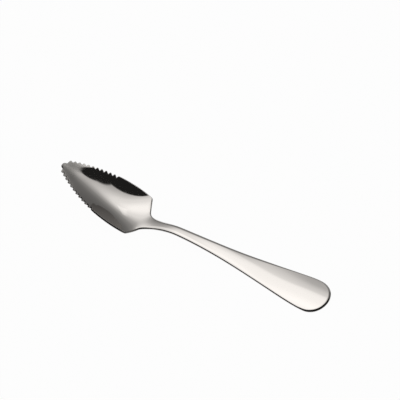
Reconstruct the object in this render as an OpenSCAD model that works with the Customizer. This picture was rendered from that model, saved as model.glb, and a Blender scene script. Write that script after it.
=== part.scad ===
// Grapefruit spoon pressed from one sheet of stainless steel.
// X runs from the tip of the bowl to the end of the handle, Y across, Z up from the table.
// The bowl is a pointed trough, open at the back, with teeth along the front half of its rim.

/* [Overall] */
// Length of the spoon from the tip to the end of the handle
spoon_len = 168; // [150:1:190]

/* [Bowl outline] */
// Width of the bowl between its two rims at the widest place
bowl_w = 29.9; // [26:0.1:34]
// Distance from the tip to the widest place of the bowl
bowl_widest = 40.2; // [36:0.2:46]
// Distance from the tip to the shoulders, where the rims end
shoulder_x = 49.8; // [47:0.2:54]
// Width that the two rim curves keep between them at the tip
point_w = 5.4; // [4.4:0.1:6.4]
// Radius that eases the corner of each shoulder
shoulder_ease = 1.2; // [0.4:0.1:2]

/* [Teeth] */
// Number of teeth along each rim
tooth_count = 11; // [4:1:12]
// Distance from one tooth to the next
tooth_pitch = 2.5; // [2:0.05:2.8]
// Height of a tooth above its gullets
tooth_h = 1.05; // [0.3:0.05:1.2]
// Distance along the rim curve from its start to the first tooth
tooth_start = 3.1; // [2.6:0.1:4]
// How far the tooth tips stay behind the plain part of the rim
tooth_setback = 0; // [0:0.05:0.4]
// Length of the rounded tongue at the tip
tongue_len = 2.1; // [1.4:0.1:2.6]
// Width of the rounded tongue where it meets the first gullets
tongue_w = 3.6; // [2.4:0.1:4.4]

/* [Bowl side view] */
// Height of the rim lines above the table at the tip
tip_h = 20.9; // [17:0.1:24]
// Downward slope of the bowl floor at the tip, in degrees
tip_pitch = 24; // [22:0.2:30]
// How far the bowl floor stays below the rim lines at the tip
tip_dip = 0.5; // [0.2:0.1:0.9]
// Height of the shoulders above the table
shoulder_h = 4.5; // [3:0.1:6]
// Distance from the tip to the front of the sole, on which the bowl rests
sole_x = 45.5; // [40:0.5:47]
// Length of the sole
sole_len = 4; // [1:0.5:6]

/* [Neck] */
// Width of the neck root, where the back edges of the bowl run into the neck
root_w = 14.4; // [10:0.2:17]
// Distance from the shoulders back to the neck root
root_run = 3.1; // [2.4:0.1:6]
// Width of the neck at its narrowest place
neck_w = 4.4; // [3.6:0.1:7]
// Distance from the neck root to the narrowest place
neck_run = 15; // [9:0.5:18]
// Distance from the neck root to the crest, the highest place of the handle
crest_run = 23; // [16:0.5:34]
// Height of the crest above the table
crest_h = 6.4; // [5:0.1:14]

/* [Handle] */
// Width of the handle at its broad end
handle_w = 21.6; // [15:0.2:26]
// Length of the rounded end behind the widest place
end_round = 9.2; // [6:0.2:13]
// How far the slim part of the handle reaches towards the end
slim_run = 50; // [34:1:52]
// How far the broad part keeps its width towards the neck
broad_run = 14.7; // [8:0.1:17]
// Distance from the end to the place where the handle rests
seat_back = 13.4; // [8:0.2:24]
// How far the end lifts off the table
end_lift = 0.2; // [0:0.1:3]
// Height of the crown across the broad end
crown_h = 0.6; // [0.2:0.1:1.4]

/* [Sheet] */
// Thickness of the bowl
bowl_sheet = 1.1; // [0.7:0.1:1.5]
// Thickness of the neck
neck_sheet = 2.2; // [1.4:0.1:3]
// Thickness of the handle end
end_sheet = 1.8; // [1.2:0.1:2.6]

/* [Hidden] */

// Facets across the spoon
across = 12;
// Stations along the tongue, per tooth, and along the plain rim, corner, back edge, neck, handle and end
tongue_steps = 4;
tooth_steps = 4;
rim_steps = 12;
corner_steps = 3;
back_steps = 4;
neck_steps = 10;
handle_steps = 26;
end_steps = 8;
// Angle of the tongue's ellipse at which its blunt nose ends
nose_turn = 30;
// Angle of the rounded end at which its last station lies
end_turn = 60;
// Share of a tooth pitch by which the wave of the teeth starts early and ends late
tooth_lead = 0.25;
// Half step for taking slopes off the surface
probe = 0.05;

// Places along X
root_x = shoulder_x + root_run;
neck_x = root_x + neck_run;
crest_x = root_x + crest_run;
broad_x = spoon_len - end_round;
seat_x = spoon_len - seat_back;
sole_end = sole_x + sole_len;

// Heights of the upper face where the underside touches the table
sole_z = bowl_sheet;
seat_z = end_sheet + crown_h;

// Each rim is one arc that is parallel to X at the widest place
rim_rise = (bowl_w - point_w) / 2;
rim_r = (bowl_widest * bowl_widest + rim_rise * rim_rise) / (2 * rim_rise);
rim_turn = asin(bowl_widest / rim_r);
shoulder_turn = asin((bowl_widest - shoulder_x) / rim_r);

function mix(a, b, t) = a + (b - a) * t;
function ease(a, b, x) = let (t = max(0, min(1, (x - a) / (b - a)))) t * t * (3 - 2 * t);
function bezier3(a, b, c, t) = mix(mix(a, b, t), mix(b, c, t), t);
function bezier4(a, b, c, d, t) = mix(bezier3(a, b, c, t), bezier3(b, c, d, t), t);

// Cubic from height z0 and slope s0 at x0 to height z1 and slope s1 at x1
function cubic(x0, z0, s0, x1, z1, s1, x) =
    let (h = x1 - x0, t = (x - x0) / h)
    mix(z0, z1, t * t * (3 - 2 * t)) + h * t * (1 - t) * (s0 * (1 - t) - s1 * t);

// Plan outline

// Point of the rim arc at an angle before the widest place, moved outwards by off
function rim_point(turn, off) =
    [bowl_widest - (rim_r + off) * sin(turn), bowl_w / 2 - rim_r + (rim_r + off) * cos(turn)];

// Angle of the rim arc at a length from its start
function rim_angle(run) = rim_turn - run / rim_r * 180 / PI;

// Half width of the arc at x
function rim_half(x) =
    bowl_w / 2 - rim_r + sqrt(rim_r * rim_r - (bowl_widest - x) * (bowl_widest - x));

shoulder = rim_point(shoulder_turn, 0);
root = [root_x, root_w / 2];
neck = [neck_x, neck_w / 2];
broad = [broad_x, handle_w / 2];

// The teeth end half a pitch behind the last tip, and the plain rim starts a little further on
last_gullet = tooth_start + (tooth_count - 0.5) * tooth_pitch;
plain_start = last_gullet + tooth_lead * tooth_pitch;
corner_turn = shoulder_turn + shoulder_ease / rim_r * 180 / PI;
corner_in = rim_point(corner_turn, 0);
corner_out = shoulder + shoulder_ease * (root - shoulder) / norm(root - shoulder);

tongue_edge = [
    for (k = [0 : tongue_steps])
        let (turn = mix(nose_turn, 90, k / tongue_steps))
        [tongue_len * (1 - cos(turn) / cos(nose_turn)), tongue_w / 2 * sin(turn)]
];
tooth_edge = [
    for (k = [0 : tooth_steps * tooth_count - 1])
        let (run = tooth_start + (k / tooth_steps - tooth_lead) * tooth_pitch)
        let (wave = (1 - cos(360 * (run - tooth_start) / tooth_pitch)) / 2)
        rim_point(rim_angle(run), -tooth_setback - tooth_h * wave)
];
plain_edge = [
    for (k = [0 : rim_steps])
        rim_point(mix(rim_angle(plain_start), corner_turn, k / rim_steps), 0)
];
corner_edge = [
    for (k = [1 : corner_steps - 1])
        bezier3(corner_in, shoulder, corner_out, k / corner_steps)
];
back_edge = [for (k = [0 : back_steps]) mix(corner_out, root, k / back_steps)];
neck_edge = [
    for (k = [1 : neck_steps])
        let (turn = 90 * k / neck_steps)
        [neck_x - neck_run * cos(turn), mix(root.y, neck.y, sin(turn))]
];
handle_edge = [
    for (k = [1 : handle_steps])
        bezier4(neck, neck + [slim_run, 0], broad - [broad_run, 0], broad, k / handle_steps)
];
end_edge = [
    for (k = [1 : end_steps])
        let (turn = end_turn * k / end_steps)
        [broad_x + end_round * sin(turn), broad.y * cos(turn)]
];
edge = concat(tongue_edge, tooth_edge, plain_edge, corner_edge, back_edge, neck_edge, handle_edge, end_edge);
stations = len(edge);

// Where a station crosses the middle line: those of the round end bow outwards
function middle_x(x) =
    x < broad_x ? x
    : mix(broad_x, spoon_len, (x - broad_x) / (end_round * sin(end_turn)));

// Upper face

// Height of the straight rim line
function rim_z(x) = mix(tip_h, shoulder_h, x / shoulder_x);

// Height along the middle line
function middle_z(x) =
    x < sole_x ? cubic(0, tip_h - tip_dip, -tan(tip_pitch), sole_x, sole_z, 0, x)
    : x < sole_end ? sole_z
    : x < crest_x ? mix(sole_z, crest_h, ease(sole_end, crest_x, x))
    : x < seat_x ? mix(crest_h, seat_z, ease(crest_x, seat_x, x))
    : seat_z + end_lift * pow((x - seat_x) / seat_back, 2);

// Curvature across the bowl, from the rim line down to the floor
function trough(x) = 2 * (rim_z(x) - middle_z(x)) / pow(rim_half(x), 2);

crown = -2 * crown_h / pow(handle_w / 2, 2);
shoulder_trough = trough(shoulder_x);
shoulder_fade = (trough(shoulder_x) - trough(shoulder_x - probe)) / probe;

// Curvature across the spoon: a trough in the bowl, a slight crown on the handle
function bend(x) =
    x < shoulder_x ? trough(x)
    : x < crest_x ? cubic(shoulder_x, shoulder_trough, shoulder_fade, crest_x, crown, 0, x)
    : crown;

function face_z(x, y) = middle_z(x) + bend(x) * y * y / 2;

function face_normal(x, y) =
    let (slope_x = (face_z(x + probe, y) - face_z(x - probe, y)) / (2 * probe))
    let (n = [-slope_x, -bend(x) * y, 1])
    n / norm(n);

function sheet(x) =
    x < neck_x ? mix(bowl_sheet, neck_sheet, ease(shoulder_x, neck_x, x))
    : mix(neck_sheet, end_sheet, ease(neck_x, broad_x, x));

upper = [
    for (e = edge)
        for (j = [0 : across])
            let (v = 2 * j / across - 1)
            let (x = mix(middle_x(e.x), e.x, v * v))
            [x, v * e.y, face_z(x, v * e.y)]
];
lower = [for (p = upper) p - sheet(p.x) * face_normal(p.x, p.y)];
points = concat(upper, lower);

// Middle of the length, and the lowest place, for standing the spoon on the origin
centre_x = (min([for (p = points) p.x]) + max([for (p = points) p.x])) / 2;
lowest_z = min([for (p = points) p.z]);

// Faces

row = across + 1;
under = stations * row;
last = stations - 1;

function top_at(i, j) = i * row + j;
function low_at(i, j) = under + i * row + j;

upper_faces = [
    for (i = [0 : last - 1])
        for (j = [0 : across - 1])
            for (t = [[[i, j], [i, j + 1], [i + 1, j + 1]], [[i, j], [i + 1, j + 1], [i + 1, j]]])
                [for (c = t) top_at(c[0], c[1])]
];
lower_faces = [for (f = upper_faces) [f[0] + under, f[2] + under, f[1] + under]];
side_faces = [
    for (i = [0 : last - 1])
        for (f = [
            [top_at(i, 0), top_at(i + 1, 0), low_at(i + 1, 0)],
            [top_at(i, 0), low_at(i + 1, 0), low_at(i, 0)],
            [top_at(i, across), low_at(i, across), low_at(i + 1, across)],
            [top_at(i, across), low_at(i + 1, across), top_at(i + 1, across)]
        ]) f
];
end_faces = [
    for (j = [0 : across - 1])
        for (f = [
            [top_at(0, j), low_at(0, j), low_at(0, j + 1)],
            [top_at(0, j), low_at(0, j + 1), top_at(0, j + 1)],
            [top_at(last, j), top_at(last, j + 1), low_at(last, j + 1)],
            [top_at(last, j), low_at(last, j + 1), low_at(last, j)]
        ]) f
];

module spoon() {
    color("silver")
    translate([-centre_x, 0, -lowest_z])
    polyhedron(points, concat(upper_faces, lower_faces, side_faces, end_faces), convexity = 6);
}

spoon();
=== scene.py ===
# Grapefruit spoon, pressed from one steel sheet and mirror polished
import bpy
import math
import numpy as np
from mathutils import Matrix, Vector


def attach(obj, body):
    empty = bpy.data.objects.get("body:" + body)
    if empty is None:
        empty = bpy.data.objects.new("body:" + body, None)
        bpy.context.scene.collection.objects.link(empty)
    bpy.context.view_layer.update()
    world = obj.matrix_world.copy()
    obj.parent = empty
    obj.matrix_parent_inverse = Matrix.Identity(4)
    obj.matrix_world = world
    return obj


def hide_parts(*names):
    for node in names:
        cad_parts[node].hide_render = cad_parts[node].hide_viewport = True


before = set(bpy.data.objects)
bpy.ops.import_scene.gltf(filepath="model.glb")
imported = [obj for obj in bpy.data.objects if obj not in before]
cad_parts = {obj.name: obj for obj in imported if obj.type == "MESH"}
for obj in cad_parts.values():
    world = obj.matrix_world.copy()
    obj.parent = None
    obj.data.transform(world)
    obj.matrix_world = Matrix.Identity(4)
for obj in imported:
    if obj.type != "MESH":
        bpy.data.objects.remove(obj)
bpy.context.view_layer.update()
print("frame loaded:", sorted(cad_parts))

mm = 0.001

# everything that shapes the spoon
spoonSteel = {
    # the pressed blank, in millimetres from the tip of the bowl, as the CAD draws it
    "blank": {
        "length": 168.0,
        "tipToMiddle": 83.798,      # the CAD stands the middle of the length on the origin
        "bowlWidth": 29.9,
        "bowlWidest": 40.2,
        "pointWidth": 5.4,
        "shoulderAt": 49.8,
        "shoulderEase": 0.8,
        "toothCount": 11,
        "toothPitch": 2.5,
        "toothHeight": 1.12,        # a little over the CAD's, because the smoothing below eats some
        "toothStart": 3.1,
        "toothLead": 0.25,          # the first tooth starts this part of a pitch earlier
        "tongueLength": 2.1,
        "tongueWidth": 3.6,
        "rootWidth": 14.4,
        "rootRun": 3.1,
        "neckWidth": 4.4,
        "neckRun": 15.0,
        "slimRun": 50.0,
        "broadRun": 14.7,
        "handleWidth": 21.6,
        "endRound": 9.2,
    },

    # side view and section of the pressing
    "form": {
        "tipHeight": 20.9,
        "tipDip": 0.5,
        "tipPitch": 24.0,
        "shoulderHeight": 4.5,
        "soleAt": 45.5,
        "soleLength": 4.0,
        "crestRun": 23.0,
        "crestHeight": 6.4,
        "seatBack": 13.4,
        "endLift": 0.2,
        "crownHeight": 0.6,
        "bowlSheet": 1.1,
        "neckSheet": 2.2,
        "endSheet": 1.8,
        "blendReach": 3.5,          # how far the polisher eases one bend into the next
        "blendSamples": 13,
        "blendTaper": 2.2,
        "bottomRound": 0.6,         # bowl section is a V with this much of a round bottom
        "veeFade": (31.5, 48.5),    # and opens into a plain curve towards the shoulders
        "tipLift": 0.2,             # the point is bent up by this much more
        "liftFade": (1.0, 20.0),
        "tipSpread": 0.3,           # and stands wider
        "tipLip": 0.58,             # the front rim turns out a little
        "lipFade": (-1.0, 20.0),
        "troughEnd": 59.5,          # the trough runs out into the neck here
        "crowns": [(76.0, -0.053), (100.0, -0.034), (130.0, -0.0115), (160.0, -0.0146)],
    },

    # sections of the edge in sheet thicknesses: three bends that end at these turns, a flat, a nose
    # under it, how far the lower face stands back, and how far it all grows past the CAD's square edge
    "edge": {
        "cut": {"radii": (0.16, 0.16, 0.16), "turns": (20, 42, 66), "flat": 0.70,
                "nose": 0.1, "standBack": 0.12, "grow": 0.26},
        "rim": {"radii": (0.2, 0.08, 0.16), "turns": (20, 42, 77), "flat": 0.70,
                "nose": 0.1, "standBack": 0.12, "grow": 0.24},
        "brim": {"radii": (0.3, 0.3, 0.3), "turns": (10, 24, 43), "flat": 0.60,
                 "nose": 0.1, "standBack": 0.3, "grow": 0.30},
        "slim": {"radii": (1.2, 2.4, 0.3), "turns": (10, 22, 38), "flat": 0.16,
                 "nose": 0.1, "standBack": 0.55, "grow": 0.36},
        "broad": {"radii": (0.6, 1.1, 0.3), "turns": (10, 22, 38), "flat": 0.20,
                  "nose": 0.1, "standBack": 0.5, "grow": 0.28},
        "end": {"radii": (0.6, 1.1, 0.3), "turns": (10, 22, 38), "flat": 0.50,
                "nose": 0.1, "standBack": 0.45, "grow": 0.22},
        # where each section after the first begins and where it is reached
        "changes": [("rim", 8.0, 15.0), ("brim", 49.0, 50.4), ("slim", 53.0, 61.0),
                    ("broad", 122.0, 152.0), ("end", 154.0, 164.0)],
        "bendSteps": (3, 5, 4),
        "noseSteps": 3,
        "underSteps": 5,
        "cutTurns": (24, 36, 110, 150),     # the polish stops and starts again at these turns, where the dark sheared colour, partly painted shade, begins and ends
    },

    # how finely the visual mesh is cut
    "mesh": {
        "across": 48,
        "nose": 10,
        "perTooth": 16,
        "rim": 44,
        "corner": 8,
        "back": 22,
        "neck": 40,
        "handle": 96,
        "end": 30,
        "noseTurn": 30.0,
        "endTurn": 60.0,
        "smoothPasses": 3,
        "rootPasses": 40,
        "rootStretch": (50.9, 52.0, 57.0, 61.0),
        "toothBand": 3.0,           # the teeth stop pulling at the grid this far inside the rim
        "toothLeast": 0.001,        # a point further than this from the smooth rim is on a tooth
        "slopeStep": 0.05,          # slopes are taken between points this far apart
    },
}

# short names, because nearly every formula below uses them
b, f = spoonSteel["blank"], spoonSteel["form"]
e, m = spoonSteel["edge"], spoonSteel["mesh"]
rootAt = b["shoulderAt"] + b["rootRun"]
neckAt = rootAt + b["neckRun"]
crestAt = rootAt + f["crestRun"]
broadAt = b["length"] - b["endRound"]
seatAt = b["length"] - f["seatBack"]
soleEnd = f["soleAt"] + f["soleLength"]
seatHeight = f["endSheet"] + f["crownHeight"]
rimRise = (b["bowlWidth"] - b["pointWidth"]) / 2
rimRadius = (b["bowlWidest"] ** 2 + rimRise ** 2) / (2 * rimRise)
rimTurn = math.asin(b["bowlWidest"] / rimRadius)
shoulderTurn = math.asin((b["bowlWidest"] - b["shoulderAt"]) / rimRadius)


def mix(low, high, t):
    return low + (high - low) * t


def ease(start, stop, x):
    t = np.clip((x - start) / (stop - start), 0, 1)
    return t * t * (3 - 2 * t)


# softer at both ends, so that no reflection kinks there
def blendIn(start, stop, x):
    t = np.clip((x - start) / (stop - start), 0, 1)
    return t ** 3 * (10 - 15 * t + 6 * t * t)


def cubic(x0, z0, slope0, x1, z1, slope1, x):
    run = x1 - x0
    t = (x - x0) / run
    return mix(z0, z1, t * t * (3 - 2 * t)) + run * t * (1 - t) * (slope0 * (1 - t) - slope1 * t)


def rimPoint(turn, offset):
    reach = rimRadius + offset
    return np.stack([b["bowlWidest"] - reach * np.sin(turn),
                     b["bowlWidth"] / 2 - rimRadius + reach * np.cos(turn)], -1)


def rimAngle(run):
    return rimTurn - run / rimRadius


def rimHalf(x):
    return b["bowlWidth"] / 2 - rimRadius + np.sqrt(rimRadius ** 2 - (b["bowlWidest"] - x) ** 2)


def rimHeight(x):
    return mix(f["tipHeight"], f["shoulderHeight"], x / b["shoulderAt"])


def pressedMiddle(x):
    tipSlope = -math.tan(math.radians(f["tipPitch"]))
    z = cubic(0, f["tipHeight"] - f["tipDip"], tipSlope, f["soleAt"], f["bowlSheet"], 0, x)
    z = np.where(x >= f["soleAt"], f["bowlSheet"], z)
    rise = mix(f["bowlSheet"], f["crestHeight"], ease(soleEnd, crestAt, x))
    z = np.where(x >= soleEnd, rise, z)
    fall = mix(f["crestHeight"], seatHeight, ease(crestAt, seatAt, x))
    z = np.where(x >= crestAt, fall, z)
    return np.where(x >= seatAt, seatHeight + f["endLift"] * ((x - seatAt) / f["seatBack"]) ** 2, z)


# buffing eases every change of bend, so the middle line is averaged over a short reach
blendSteps = np.linspace(-1, 1, f["blendSamples"])
blendWeights = np.cos(blendSteps * math.pi / f["blendTaper"]) ** 2
blendWeights /= blendWeights.sum()


def middleHeight(x):
    x = np.asarray(x, float)
    return sum(w * pressedMiddle(x + s * f["blendReach"]) for s, w in zip(blendSteps, blendWeights))


def trough(x):
    return 2 * (rimHeight(x) - middleHeight(x)) / rimHalf(x) ** 2


slopeStep = m["slopeStep"]
shoulderBend = float(trough(b["shoulderAt"]))
shoulderFade = float(shoulderBend - trough(b["shoulderAt"] - slopeStep)) / slopeStep


def bowlBend(x):
    bowl = trough(np.minimum(x, b["shoulderAt"]))
    runOut = cubic(b["shoulderAt"], shoulderBend, shoulderFade, f["troughEnd"], 0, 0, x)
    return np.where(x < b["shoulderAt"], bowl, np.where(x < f["troughEnd"], runOut, 0))


def bowlSection(x, y):
    half = rimHalf(np.minimum(x, b["shoulderAt"]))
    v, k = y / half, f["bottomRound"]
    vee = (np.sqrt(k * k + v * v) - k) / (math.sqrt(k * k + 1) - k)
    lip = f["tipLip"] * (1 - blendIn(*f["lipFade"], x))
    vee = half ** 2 * (vee * (1 + lip) - lip * v ** 4)
    return mix(vee, y * y, blendIn(*f["veeFade"], x))


def crown(x):
    bend = f["crowns"][0][1]
    for (x0, c0), (x1, c1) in zip(f["crowns"][:-1], f["crowns"][1:]):
        bend = bend + (c1 - c0) * ease(x0, x1, x)
    return bend * ease(b["shoulderAt"], f["troughEnd"], x)


def faceHeight(x, y):
    lift = f["tipLift"] * (1 - blendIn(*f["liftFade"], x))
    return middleHeight(x) + lift + bowlBend(x) * bowlSection(x, y) / 2 + crown(x) * y * y / 2


def faceNormal(x, y):
    slopeX = (faceHeight(x + slopeStep, y) - faceHeight(x - slopeStep, y)) / (2 * slopeStep)
    slopeY = (faceHeight(x, y + slopeStep) - faceHeight(x, y - slopeStep)) / (2 * slopeStep)
    n = np.stack([-slopeX, -slopeY, np.ones_like(slopeX)], -1)
    return n / np.linalg.norm(n, axis=-1, keepdims=True)


def sheetAt(x):
    toNeck = mix(f["bowlSheet"], f["neckSheet"], ease(b["shoulderAt"], neckAt, x))
    toEnd = mix(f["neckSheet"], f["endSheet"], ease(neckAt, broadAt, x))
    return np.where(x < neckAt, toNeck, toEnd)


# rings of the edge from the upper to the lower face: how far out, how far down and which way they face
def edgeSection(s):
    turns, out, down = [0.0], [0.0], [0.0]

    def bend(radius, stop, steps):
        for turn in np.linspace(turns[-1], math.radians(stop), steps + 1)[1:]:
            out.append(out[-1] + radius * (math.sin(turn) - math.sin(turns[-1])))
            down.append(down[-1] + radius * (math.cos(turns[-1]) - math.cos(turn)))
            turns.append(turn)

    for radius, stop, steps in zip(s["radii"], s["turns"], e["bendSteps"]):
        bend(radius, stop, steps)
    out.append(out[-1] + s["flat"] * math.cos(turns[-1]))
    down.append(down[-1] + s["flat"] * math.sin(turns[-1]))
    turns.append(turns[-1])
    bend(s["nose"], 90, e["noseSteps"])

    # a quarter of an ellipse carries on to the lower face
    under = np.linspace(0, math.pi / 2, e["underSteps"] + 1)[1:]
    left = 1 - down[-1]
    underTurn = math.pi / 2 + np.arctan2(np.sin(under) * s["standBack"], np.cos(under) * left)
    out = np.append(out, out[-1] - s["standBack"] * (1 - np.cos(under)))
    down = np.append(down, down[-1] + left * np.sin(under))
    turns = np.append(turns, underTurn)
    return np.stack([out, down, np.cos(turns), np.sin(turns)], 1)


# the same rings for every point of the outline, and how far the edge stands outside it
def edgeRings(x):
    rings, grow = edgeSection(e["cut"])[..., None], e["cut"]["grow"]
    for name, start, full in e["changes"]:
        share = ease(start, full, x)
        rings = mix(rings, edgeSection(e[name])[..., None], share)
        grow = mix(grow, e[name]["grow"], share)
    return rings, grow


def bezier(points, t):
    t = t[:, None]
    while len(points) > 1:
        points = [mix(p, q, t) for p, q in zip(points[:-1], points[1:])]
    return points[0]


# half outline from the nose to the round end, with and without the teeth
def halfOutline():
    turn = np.radians(np.linspace(m["noseTurn"], 90, m["nose"]))
    tongue = np.stack([b["tongueLength"] * (1 - np.cos(turn)), b["tongueWidth"] / 2 * np.sin(turn)], -1)

    pitches = np.arange(m["perTooth"] * b["toothCount"]) / m["perTooth"] - b["toothLead"]
    run = b["toothStart"] + pitches * b["toothPitch"]
    wave = (1 - np.cos(2 * math.pi * (run - b["toothStart"]) / b["toothPitch"])) / 2
    spread = f["tipSpread"] * (1 - ease(*f["liftFade"], run))
    teeth = rimPoint(rimAngle(run), spread - b["toothHeight"] * wave)
    smoothTeeth = rimPoint(rimAngle(run), spread - b["toothHeight"] / 2)

    cornerTurn = shoulderTurn + b["shoulderEase"] / rimRadius
    plainTurn = rimAngle(run[-1] + b["toothPitch"] / m["perTooth"])
    plain = rimPoint(np.linspace(plainTurn, cornerTurn, m["rim"]), 0)
    shoulder = rimPoint(shoulderTurn, 0)
    root = np.array([rootAt, b["rootWidth"] / 2])
    cornerOut = shoulder + b["shoulderEase"] * (root - shoulder) / np.linalg.norm(root - shoulder)
    corner = bezier([plain[-1], shoulder, cornerOut], np.linspace(0, 1, m["corner"] + 1)[1:-1])
    back = bezier([cornerOut, root], np.linspace(0, 1, m["back"]))

    turn = np.linspace(0, math.pi / 2, m["neck"] + 1)[1:]
    neck = np.stack([neckAt - b["neckRun"] * np.cos(turn),
                     mix(b["rootWidth"], b["neckWidth"], np.sin(turn)) / 2], -1)
    slim = np.array([neckAt, b["neckWidth"] / 2])
    broad = np.array([broadAt, b["handleWidth"] / 2])
    handle = bezier([slim, slim + [b["slimRun"], 0], broad - [b["broadRun"], 0], broad],
                    np.linspace(0, 1, m["handle"] + 1)[1:])
    turn = np.radians(np.linspace(0, m["endTurn"], m["end"] + 1)[1:])
    end = np.stack([broadAt + b["endRound"] * np.sin(turn), b["handleWidth"] / 2 * np.cos(turn)], -1)

    rest = [plain, corner, back, neck, handle, end]
    return np.concatenate([tongue, teeth] + rest), np.concatenate([tongue, smoothTeeth] + rest)


def smoothed(line):
    line = line.copy()
    for _ in range(m["smoothPasses"]):
        line[1:-1] += (line[:-2] - 2 * line[1:-1] + line[2:]) / 4
    x0, x1, x2, x3 = m["rootStretch"]       # the press leaves a wider fillet where the neck begins
    share = (ease(x0, x1, line[1:-1, 0:1]) - ease(x2, x3, line[1:-1, 0:1])) / 4
    for _ in range(m["rootPasses"]):
        line[1:-1] += (line[:-2] - 2 * line[1:-1] + line[2:]) * share
    return line


# stations of the nose and the round end bow outwards, all others run straight across
def middleOf(x, noseIn, endIn):
    noseX = b["tongueLength"] * (1 - math.cos(math.radians(m["noseTurn"])))
    nose = mix(noseIn, b["tongueLength"], (x - noseX) / (b["tongueLength"] - noseX))
    endRun = b["endRound"] * math.sin(math.radians(m["endTurn"]))
    end = mix(broadAt, b["length"] - endIn, (x - broadAt) / endRun)
    return np.where(x < b["tongueLength"], nose, np.where(x < broadAt, x, end))


def stationGrid(middle, edge, base):
    v = np.linspace(-1, 1, m["across"] + 1)[None, :]
    half = base[:, 1:2]
    x = mix(middle[:, None], base[:, 0:1], v * v)
    y = v * half
    pull = np.clip(1 - (1 - np.abs(v)) * half / np.minimum(m["toothBand"], half), 0, 1) ** 2
    x = x + pull * (edge[:, 0:1] - base[:, 0:1])
    y = y + pull * np.sign(v) * (edge[:, 1:2] - half)
    return np.stack([x, y], -1)


# grid positions that lie on the outside, once round
def borderIndex(rows, columns):
    front = [(0, j) for j in range(columns)]
    right = [(i, columns - 1) for i in range(1, rows)]
    end = [(rows - 1, j) for j in range(columns - 2, -1, -1)]
    left = [(i, 0) for i in range(rows - 2, 0, -1)]
    return np.array(front + right + end + left)


def outwardPlan(loop):
    along = np.roll(loop, -1, 0) - np.roll(loop, 1, 0)
    out = np.stack([-along[:, 1], along[:, 0]], -1)
    return out / np.linalg.norm(out, axis=1, keepdims=True)


def buildSpoon():
    edge, base = halfOutline()
    edge, base = smoothed(edge), smoothed(base)
    sharp = stationGrid(middleOf(base[:, 0], 0, 0), edge, base)
    rows, columns = sharp.shape[:2]
    border = borderIndex(rows, columns)
    loop = sharp[border[:, 0], border[:, 1]]
    out = outwardPlan(loop)

    # the upper and lower face stop short of the outline by the reach of the edge
    thick = sheetAt(loop[:, 0])
    section, grow = edgeRings(loop[:, 0])
    widest = section[:, 0].max(0)
    right = np.where(border[:, 1] == columns - 1)[0]
    toothed = np.linalg.norm(edge - base, axis=1) > m["toothLeast"]

    def insetPlan(inset):
        inner = loop - out * inset[:, None]
        innerEdge = inner[right]
        innerBase = np.where(toothed[:, None], base - [0, 1] * inset[right, None], innerEdge)
        plan = stationGrid(middleOf(base[:, 0], inset[0], inset[right[-1]]), innerEdge, innerBase)
        plan[border[:, 0], border[:, 1]] = inner
        return plan

    plan = insetPlan(thick * (widest - grow))
    under = insetPlan(thick * (widest - section[-1, 0] - grow))

    x, y = plan[..., 0], plan[..., 1]
    normal = faceNormal(x, y)
    upper = np.stack([x, y, faceHeight(x, y)], -1)
    x, y = under[..., 0], under[..., 1]
    lowNormal = faceNormal(x, y)
    lower = np.stack([x, y, faceHeight(x, y)], -1) - lowNormal * sheetAt(x)[..., None]
    count = rows * columns
    verts = [upper.reshape(-1, 3), lower.reshape(-1, 3)]
    normals = [normal.reshape(-1, 3), -lowNormal.reshape(-1, 3)]
    # how far each point lies on the sheared edge; there the steel takes a dark colour that is partly
    # real shear and partly painted shade
    cut = [np.zeros(2 * count)]

    n = normal[border[:, 0], border[:, 1]]
    side = np.concatenate([out, np.zeros((len(out), 1))], 1)
    side -= n * (side * n).sum(1, keepdims=True)
    side /= np.linalg.norm(side, axis=1, keepdims=True)
    top = upper[border[:, 0], border[:, 1]]
    stop, full, less, start = e["cutTurns"]
    for reach, drop, rise, lean in section[1:-1]:
        verts.append(top + side * (reach * thick)[:, None] - n * (drop * thick)[:, None])
        facing = n * rise[:, None] + side * lean[:, None]
        normals.append(facing / np.linalg.norm(facing, axis=1, keepdims=True))
        turn = np.degrees(np.arctan2(lean, rise))
        cut.append(ease(stop, full, turn) - ease(less, start, turn))

    borderVerts = border[:, 0] * columns + border[:, 1]
    rings = [borderVerts]
    for k in range(len(section) - 2):
        rings.append(2 * count + k * len(border) + np.arange(len(border)))
    rings.append(count + borderVerts)

    i, j = np.meshgrid(np.arange(rows - 1), np.arange(columns - 1), indexing="ij")
    corner = (i * columns + j).ravel()
    topFaces = np.stack([corner, corner + columns, corner + columns + 1, corner + 1], -1)
    faces = [topFaces, topFaces[:, ::-1] + count]
    for ringA, ringB in zip(rings[:-1], rings[1:]):
        faces.append(np.stack([ringA, np.roll(ringA, -1), np.roll(ringB, -1), ringB], -1))
    verts, normals, faces = np.concatenate(verts), np.concatenate(normals), np.concatenate(faces)

    verts[:, 0] -= b["tipToMiddle"]
    verts[:, 2] -= verts[:, 2].min()
    mesh = bpy.data.meshes.new("spoonSteel")
    mesh.from_pydata((verts * mm).tolist(), [], faces.tolist())
    mesh.update()
    mesh.shade_smooth()
    mesh.normals_split_custom_set_from_vertices(normals.tolist())
    mesh.attributes.new("shearAndShadeEdge", "FLOAT", "POINT").data.foreach_set("value", np.concatenate(cut))
    spoon = bpy.data.objects.new("spoonSteel", mesh)
    bpy.context.collection.objects.link(spoon)
    print("spoon:", len(mesh.vertices), "points,", len(mesh.polygons), "faces")
    return spoon


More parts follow.
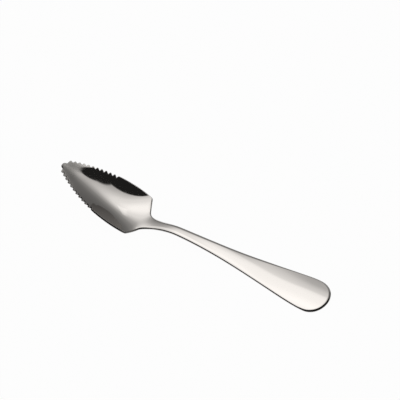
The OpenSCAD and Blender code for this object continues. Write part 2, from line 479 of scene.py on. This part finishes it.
# mirror polish: warm grey steel with faint haze, fine buffing lines along the length
# and a duller ground tip
steelFinish = {
    "clearColour": (0.815, 0.786, 0.764, 1),
    "handleSheenColour": (0.87, 0.839, 0.816, 1),    # painted sheen: a lighter steel colour on the handle, standing in for the brighter light it mirrors
    "handleSheenFrom": (54.0, 78.0),
    "groundColour": (0.52, 0.507, 0.49, 1),
    "groundFrom": 11.5,                         # millimetres behind the tip, growing towards it
    "groundFull": 4.0,
    "groundRoughness": 0.48,
    "shearAndShadeColour": (0.345, 0.333, 0.322, 1),      # sheared edge, only tumbled, and darker still as painted shade that draws a dark outline all round
    "cutRoughness": 0.2,
    "clearRoughness": 0.03,
    "hazyRoughness": 0.065,
    "hazeScale": 55.0,
    "hazeDetail": 4.0,
    "hazeSpread": (0.12, 0.45),                 # the part of the mottling that turns into haze
    "lineStretch": (30.0, 900.0, 900.0),
    "lineScale": 6.0,
    "lineDetail": 3.0,
    "lineDepth": 0.015,
    "lineHeight": 0.02,                         # millimetres at full depth
}


def addNode(tree, kind, place, **values):
    node = tree.nodes.new(kind)
    node.location = place
    for name, value in values.items():
        setattr(node, name, value)
    return node


# a value carried from one range into another, eased at both ends or straight
def addRange(tree, place, ends, levels=(0.0, 1.0), curve="SMOOTHSTEP"):
    node = addNode(tree, "ShaderNodeMapRange", place, interpolation_type=curve)
    for name, value in zip(("From Min", "From Max", "To Min", "To Max"), (*ends, *levels)):
        node.inputs[name].default_value = value
    return node


def addMix(tree, kind, place, **values):
    node = addNode(tree, "ShaderNodeMix", place, data_type=kind)
    for name, value in values.items():
        node.inputs[name].default_value = value
    return node


# places given in millimetres from the tip
def alongSpoon(x):
    return (x - b["tipToMiddle"]) * mm


def fromTip(x, y, z):
    return Vector((alongSpoon(x), y * mm, z * mm))


def polishedSteel():
    s = steelFinish
    material = bpy.data.materials.new("polishedSteel")
    material.use_nodes = True
    tree = material.node_tree
    link = tree.links.new
    shader = tree.nodes["Principled BSDF"]
    shader.inputs["Metallic"].default_value = 1.0

    coords = addNode(tree, "ShaderNodeTexCoord", (-1300, 0))
    haze = addNode(tree, "ShaderNodeTexNoise", (-1000, 150))
    haze.inputs["Scale"].default_value = s["hazeScale"]
    haze.inputs["Detail"].default_value = s["hazeDetail"]
    stretch = addNode(tree, "ShaderNodeMapping", (-1100, -200))
    stretch.inputs["Scale"].default_value = s["lineStretch"]
    lines = addNode(tree, "ShaderNodeTexNoise", (-900, -200))
    lines.inputs["Scale"].default_value = s["lineScale"]
    lines.inputs["Detail"].default_value = s["lineDetail"]
    blend = addNode(tree, "ShaderNodeMath", (-700, 60), operation="MULTIPLY")
    finish = (s["clearRoughness"], s["hazyRoughness"])
    spread = addRange(tree, (-500, 60), s["hazeSpread"], finish, "LINEAR")
    link(coords.outputs["Object"], haze.inputs["Vector"])
    link(coords.outputs["Object"], stretch.inputs["Vector"])
    link(stretch.outputs["Vector"], lines.inputs["Vector"])
    link(haze.outputs["Fac"], blend.inputs[0])
    link(lines.outputs["Fac"], blend.inputs[1])
    link(blend.outputs["Value"], spread.inputs["Value"])

    # the tooth grinding shows towards the tip, a lighter handle colour as painted sheen, and on the
    # edges a dark colour that is partly the shear and partly painted shade
    place = addNode(tree, "ShaderNodeSeparateXYZ", (-1000, 450))
    ground = addRange(tree, (-800, 450), (alongSpoon(s["groundFrom"]), alongSpoon(s["groundFull"])))
    # painted sheen: from here on the handle's steel colour is lighter, for the brighter light it
    # mirrors
    behind = addRange(tree, (-800, 750), [alongSpoon(x) for x in s["handleSheenFrom"]])
    length = addMix(tree, "RGBA", (-600, 600), A=s["clearColour"], B=s["handleSheenColour"])
    colour = addMix(tree, "RGBA", (-400, 450), B=s["groundColour"])
    rough = addMix(tree, "FLOAT", (-300, 60), B=s["groundRoughness"])
    # the sheared edge's dark colour is partly its real finish and partly painted shade for a dark
    # outline
    cut = addNode(tree, "ShaderNodeAttribute", (-600, 900), attribute_name="shearAndShadeEdge")
    shearAndShadeColour = addMix(tree, "RGBA", (-200, 450), B=s["shearAndShadeColour"])
    cutRough = addMix(tree, "FLOAT", (-120, 60), B=s["cutRoughness"])
    bump = addNode(tree, "ShaderNodeBump", (-300, -250))
    bump.inputs["Strength"].default_value = s["lineDepth"]
    bump.inputs["Distance"].default_value = s["lineHeight"] * mm
    link(coords.outputs["Object"], place.inputs["Vector"])
    link(place.outputs["X"], ground.inputs["Value"])
    link(place.outputs["X"], behind.inputs["Value"])
    link(behind.outputs["Result"], length.inputs["Factor"])
    link(length.outputs["Result"], colour.inputs["A"])
    link(ground.outputs["Result"], colour.inputs["Factor"])
    link(ground.outputs["Result"], rough.inputs["Factor"])
    link(spread.outputs["Result"], rough.inputs["A"])
    link(cut.outputs["Fac"], shearAndShadeColour.inputs["Factor"])
    link(cut.outputs["Fac"], cutRough.inputs["Factor"])
    link(colour.outputs["Result"], shearAndShadeColour.inputs["A"])
    link(rough.outputs["Result"], cutRough.inputs["A"])
    link(shearAndShadeColour.outputs["Result"], shader.inputs["Base Color"])
    link(cutRough.outputs["Result"], shader.inputs["Roughness"])
    link(lines.outputs["Fac"], bump.inputs["Height"])
    link(bump.outputs["Normal"], shader.inputs["Normal"])
    return material


spoon = buildSpoon()
spoon.data.materials.append(polishedSteel())
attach(spoon, "root")
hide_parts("spoon")
print("spoon polished")

# pale table top, shown white to the eye and to the steel, with the spoon's own shadow left on it
tableTop = {
    "size": 12.0,
    "drop": 0.00005,
    "colour": (0.9, 0.9, 0.9, 1),
    "roughness": 0.9,
    "gloss": 0.1,
    "whiteShare": 0.97,
    "mirroredShare": 0.6,       # the steel sees more of the shadow
}


def buildTable():
    t = tableTop
    reach = t["size"] / 2
    corners = [(-reach, -reach, -t["drop"]), (reach, -reach, -t["drop"]),
               (reach, reach, -t["drop"]), (-reach, reach, -t["drop"])]
    mesh = bpy.data.meshes.new("tableTop")
    mesh.from_pydata(corners, [], [(0, 1, 2, 3)])
    table = bpy.data.objects.new("tableTop", mesh)
    bpy.context.collection.objects.link(table)

    material = bpy.data.materials.new("paleTable")
    material.use_nodes = True
    tree = material.node_tree
    shader = tree.nodes["Principled BSDF"]
    shader.inputs["Base Color"].default_value = t["colour"]
    shader.inputs["Roughness"].default_value = t["roughness"]
    shader.inputs["Specular IOR Level"].default_value = t["gloss"]
    white = addNode(tree, "ShaderNodeEmission", (0, -250))
    white.inputs["Strength"].default_value = 1.0
    light = addNode(tree, "ShaderNodeLightPath", (-600, 400))
    mirrored = addNode(tree, "ShaderNodeMath", (-400, 500), operation="MAXIMUM")
    paler = addNode(tree, "ShaderNodeMath", (-220, 500), operation="MULTIPLY")
    paler.inputs[1].default_value = t["mirroredShare"]
    seen = addNode(tree, "ShaderNodeMath", (-220, 300), operation="MULTIPLY")
    seen.inputs[1].default_value = t["whiteShare"]
    share = addNode(tree, "ShaderNodeMath", (-40, 400), operation="MAXIMUM")
    both = addNode(tree, "ShaderNodeMixShader", (250, 100))
    link = tree.links.new
    link(light.outputs["Is Glossy Ray"], mirrored.inputs[0])
    link(light.outputs["Is Transmission Ray"], mirrored.inputs[1])
    link(mirrored.outputs["Value"], paler.inputs[0])
    link(light.outputs["Is Camera Ray"], seen.inputs[0])
    link(paler.outputs["Value"], share.inputs[0])
    link(seen.outputs["Value"], share.inputs[1])
    link(share.outputs["Value"], both.inputs["Fac"])
    link(shader.outputs["BSDF"], both.inputs[1])
    link(white.outputs["Emission"], both.inputs[2])
    link(both.outputs["Shader"], tree.nodes["Material Output"].inputs["Surface"])
    mesh.materials.append(material)
    print("table laid")


buildTable()

# a broad soft light overhead that fades towards the walls, and a dark room on the camera's side
# beyond two straight edges of the light
studio = {
    "lightFrom": (149.7, 74.2),         # heading and height of its middle, degrees
    "lightStretch": (1.007, 1.307, 1.0),
    "fadeTurn": 110.0,
    "level": 1.25,
    "fade": [(0, 0.92), (12, 0.88), (24, 0.75), (34, 0.66), (44, 0.43), (54, 0.252), (64, 0.16),
             (76, 0.104), (90, 0.096), (110, 0.096)],
    "tint": (1.0, 0.99, 0.97),
    "roomEdges": [((0.8104, -0.344, -0.4743), -0.012, 0.012),
                  ((0.1583, -0.8946, -0.4179), -0.012, 0.012)],
    "roomLevel": 0.011,
    "wallLevel": 0.32,                  # the room's pale wall low down
    "wallTop": (0.10, 0.46),            # sine of the height where it ends
    "mirrorDepths": (2.0, 3.0),         # ray depth of the sky after one mirroring and after two
    "secondBounce": 0.20,               # share of the light left after two
}


def headingOf(around, above):
    around, above = math.radians(around), math.radians(above)
    level = math.cos(above)
    return Vector((level * math.cos(around), level * math.sin(around), math.sin(above)))


def lightStudio():
    s = studio
    world = bpy.data.worlds.new("studio")
    bpy.context.scene.world = world
    world.use_nodes = True
    tree = world.node_tree
    link = tree.links.new
    sky = tree.nodes["Background"]
    coords = addNode(tree, "ShaderNodeTexCoord", (-1600, 0))
    direction = coords.outputs["Generated"]

    def beyond(edge, row):
        normal, soft, full = edge
        side = addNode(tree, "ShaderNodeVectorMath", (-1200, row), operation="DOT_PRODUCT")
        side.inputs[1].default_value = normal
        step = addRange(tree, (-1000, row), (soft, full))
        link(direction, side.inputs[0])
        link(side.outputs["Value"], step.inputs["Value"])
        return step.outputs["Result"]

    # angle from the middle of the light into the fade
    stretch = addNode(tree, "ShaderNodeVectorMath", (-1400, 500), operation="MULTIPLY")
    stretch.inputs[1].default_value = s["lightStretch"]
    unit = addNode(tree, "ShaderNodeVectorMath", (-1200, 500), operation="NORMALIZE")
    toward = addNode(tree, "ShaderNodeVectorMath", (-1000, 500), operation="DOT_PRODUCT")
    toward.inputs[1].default_value = headingOf(*s["lightFrom"])
    angle = addNode(tree, "ShaderNodeMath", (-800, 500), operation="ARCCOSINE")
    share = addNode(tree, "ShaderNodeMath", (-600, 500), operation="DIVIDE", use_clamp=True)
    share.inputs[1].default_value = math.radians(s["fadeTurn"])
    fade = addNode(tree, "ShaderNodeValToRGB", (-400, 500))
    fade.color_ramp.interpolation = "CARDINAL"
    stops = fade.color_ramp.elements
    for degrees, _ in s["fade"][len(stops):]:
        stops.new(degrees / s["fadeTurn"])
    for stop, (degrees, level) in zip(stops, s["fade"]):
        stop.position = degrees / s["fadeTurn"]
        stop.color = [level * part for part in s["tint"]] + [1]
    link(direction, stretch.inputs[0])
    link(stretch.outputs["Vector"], unit.inputs[0])
    link(unit.outputs["Vector"], toward.inputs[0])
    link(toward.outputs["Value"], angle.inputs[0])
    link(angle.outputs["Value"], share.inputs[0])
    link(share.outputs["Value"], fade.inputs["Fac"])

    # the dark room takes it away
    rooms = [beyond(edge, -100 - 150 * row) for row, edge in enumerate(s["roomEdges"])]
    room = addNode(tree, "ShaderNodeMath", (-600, -100), operation="MAXIMUM")
    sight = addMix(tree, "RGBA", (0, 200))
    height = addNode(tree, "ShaderNodeSeparateXYZ", (-800, -400))
    wall = addRange(tree, (-600, -400), s["wallTop"], (s["wallLevel"], s["roomLevel"]))
    wallTint = addNode(tree, "ShaderNodeVectorMath", (-400, -300), operation="SCALE")
    wallTint.inputs[0].default_value = s["tint"]
    link(direction, height.inputs["Vector"])
    link(height.outputs["Z"], wall.inputs["Value"])
    link(wall.outputs["Result"], wallTint.inputs["Scale"])
    link(wallTint.outputs["Vector"], sight.inputs["B"])
    link(rooms[0], room.inputs[0])
    link(rooms[1], room.inputs[1])
    link(room.outputs["Value"], sight.inputs["Factor"])
    link(fade.outputs["Color"], sight.inputs["A"])
    link(sight.outputs["Result"], sky.inputs["Color"])

    # walls of the bowl that mirror each other stay dim
    path = addNode(tree, "ShaderNodeLightPath", (-100, -200))
    levels = (s["level"], s["level"] * s["secondBounce"])
    dim = addRange(tree, (100, -200), s["mirrorDepths"], levels, "LINEAR")
    link(path.outputs["Ray Depth"], dim.inputs["Value"])
    link(dim.outputs["Result"], sky.inputs["Strength"])
    print("studio lit")


lightStudio()

# a glowing card hung beyond the handle, seen only in the steel, that adds to the light behind it
handleCard = {
    "place": (42.4, 293.2, 394.2),      # millimetres from the tip
    "along": (-0.938, -0.346, 0.0),
    "up": (0.271, -0.735, 0.622),
    "sides": (-60.0, 125.0, -120.0, 200.0),
    "glow": (0.16, 0.1584, 0.1552, 1),
    "glowDepth": 1.5,                   # ray depth, so it shows in one mirror but not in a second
    "edgeAcross": (0.97, 0.25, 0.0),    # the slanted edge, square to this
    "edgeFade": (-2.5, 8.5),
    "neckFade": (120.0, 55.0),
    "topFade": (190.0, 130.0),
    "footFade": (-118.0, -80.0),
    "hemShade": 0.10,                   # dark hem beyond the edge
    "hemAcross": (-40.0, -16.0),
    "hemDown": (-35.0, -85.0),
}


def hangCard():
    c = handleCard
    left, right, low, high = c["sides"]
    mesh = bpy.data.meshes.new("handleCard")
    corners = [(left, low, 0), (right, low, 0), (right, high, 0), (left, high, 0)]
    mesh.from_pydata([[part * mm for part in corner] for corner in corners], [], [(0, 1, 2, 3)])
    card = bpy.data.objects.new("handleCard", mesh)
    bpy.context.collection.objects.link(card)
    along, up = Vector(c["along"]), Vector(c["up"])
    turned = Matrix((along, up, along.cross(up))).transposed().to_4x4()
    card.matrix_world = Matrix.Translation(fromTip(*c["place"])) @ turned
    for ray in ("camera", "diffuse", "shadow", "transmission"):
        setattr(card, "visible_" + ray, False)

    material = bpy.data.materials.new("cardGlow")
    material.use_nodes = True
    tree = material.node_tree
    link = tree.links.new
    tree.nodes.remove(tree.nodes["Principled BSDF"])
    coords = addNode(tree, "ShaderNodeTexCoord", (-1300, 0))
    place = addNode(tree, "ShaderNodeSeparateXYZ", (-1000, -200))
    slant = addNode(tree, "ShaderNodeVectorMath", (-1000, 200), operation="DOT_PRODUCT")
    slant.inputs[1].default_value = c["edgeAcross"]
    link(coords.outputs["Object"], place.inputs["Vector"])
    link(coords.outputs["Object"], slant.inputs[0])
    across, down = place.outputs["X"], place.outputs["Y"]

    def fade(distance, ends, row):
        node = addRange(tree, (-700, row), [end * mm for end in ends])
        link(distance, node.inputs["Value"])
        return node.outputs["Result"]

    def times(first, second, spot):
        node = addNode(tree, "ShaderNodeMath", spot, operation="MULTIPLY")
        link(first, node.inputs[0])
        link(second, node.inputs[1])
        return node.outputs["Value"]

    edge = fade(slant.outputs["Value"], c["edgeFade"], 400)
    foot = fade(down, c["footFade"], -600)
    neck = fade(across, c["neckFade"], 200)
    top = fade(down, c["topFade"], 0)
    glow = addNode(tree, "ShaderNodeEmission", (0, 200))
    glow.inputs["Color"].default_value = c["glow"]
    path = addNode(tree, "ShaderNodeLightPath", (-450, 700))
    once = addNode(tree, "ShaderNodeMath", (-250, 500), operation="LESS_THAN")
    once.inputs[1].default_value = c["glowDepth"]
    link(path.outputs["Ray Depth"], once.inputs[0])
    lit = times(neck, top, (-450, 150))
    lit = times(edge, lit, (-250, 200))
    lit = times(lit, foot, (-150, 200))
    lit = times(lit, once.outputs["Value"], (-80, 350))
    link(lit, glow.inputs["Strength"])

    hemAcross = fade(across, c["hemAcross"], -200)
    hemDown = fade(down, c["hemDown"], -400)
    hem = times(hemAcross, hemDown, (-450, -300))
    hem = times(hem, foot, (-350, -400))
    beyondEdge = addNode(tree, "ShaderNodeMath", (-450, -100), operation="SUBTRACT")
    beyondEdge.inputs[0].default_value = 1.0
    shade = addRange(tree, (-50, -250), (0.0, 1.0), (1.0, 1.0 - c["hemShade"]), "LINEAR")
    clear = addNode(tree, "ShaderNodeBsdfTransparent", (150, -100))
    both = addNode(tree, "ShaderNodeAddShader", (350, 50))
    link(edge, beyondEdge.inputs[1])
    hem = times(hem, beyondEdge.outputs["Value"], (-250, -250))
    link(hem, shade.inputs["Value"])
    link(shade.outputs["Result"], clear.inputs["Color"])
    link(clear.outputs["BSDF"], both.inputs[0])
    link(glow.outputs["Emission"], both.inputs[1])
    link(both.outputs["Shader"], tree.nodes["Material Output"].inputs["Surface"])
    mesh.materials.append(material)
    print("card hung")


hangCard()

# camera from the handle side, looking down along the bowl
viewFrom = {
    "azimuth": -58.907,
    "elevation": 49.117,
    "roll": -1.351,
    "distance": 700.0,
    "aim": (74.713, 25.549, 5.856),     # millimetres from the tip
    "lens": 111.22,
    "sensor": 36.0,
    "clipStart": 0.01,
}


def placeCamera():
    v = viewFrom
    back = headingOf(v["azimuth"], v["elevation"])
    level = headingOf(v["azimuth"] + 90, 0)
    steep = back.cross(level)
    turn = math.radians(v["roll"])
    right = level * math.cos(turn) + steep * math.sin(turn)
    up = steep * math.cos(turn) - level * math.sin(turn)
    camera = bpy.data.cameras.new("camera")
    camera.lens = v["lens"]
    camera.sensor_width = v["sensor"]
    camera.clip_start = v["clipStart"]
    holder = bpy.data.objects.new("camera", camera)
    turned = Matrix((right, up, back)).transposed().to_4x4()
    holder.matrix_world = Matrix.Translation(fromTip(*v["aim"]) + back * v["distance"] * mm) @ turned
    bpy.context.collection.objects.link(holder)
    bpy.context.scene.camera = holder
    print("camera placed")


placeCamera()
bpy.context.scene.view_settings.view_transform = "Standard"
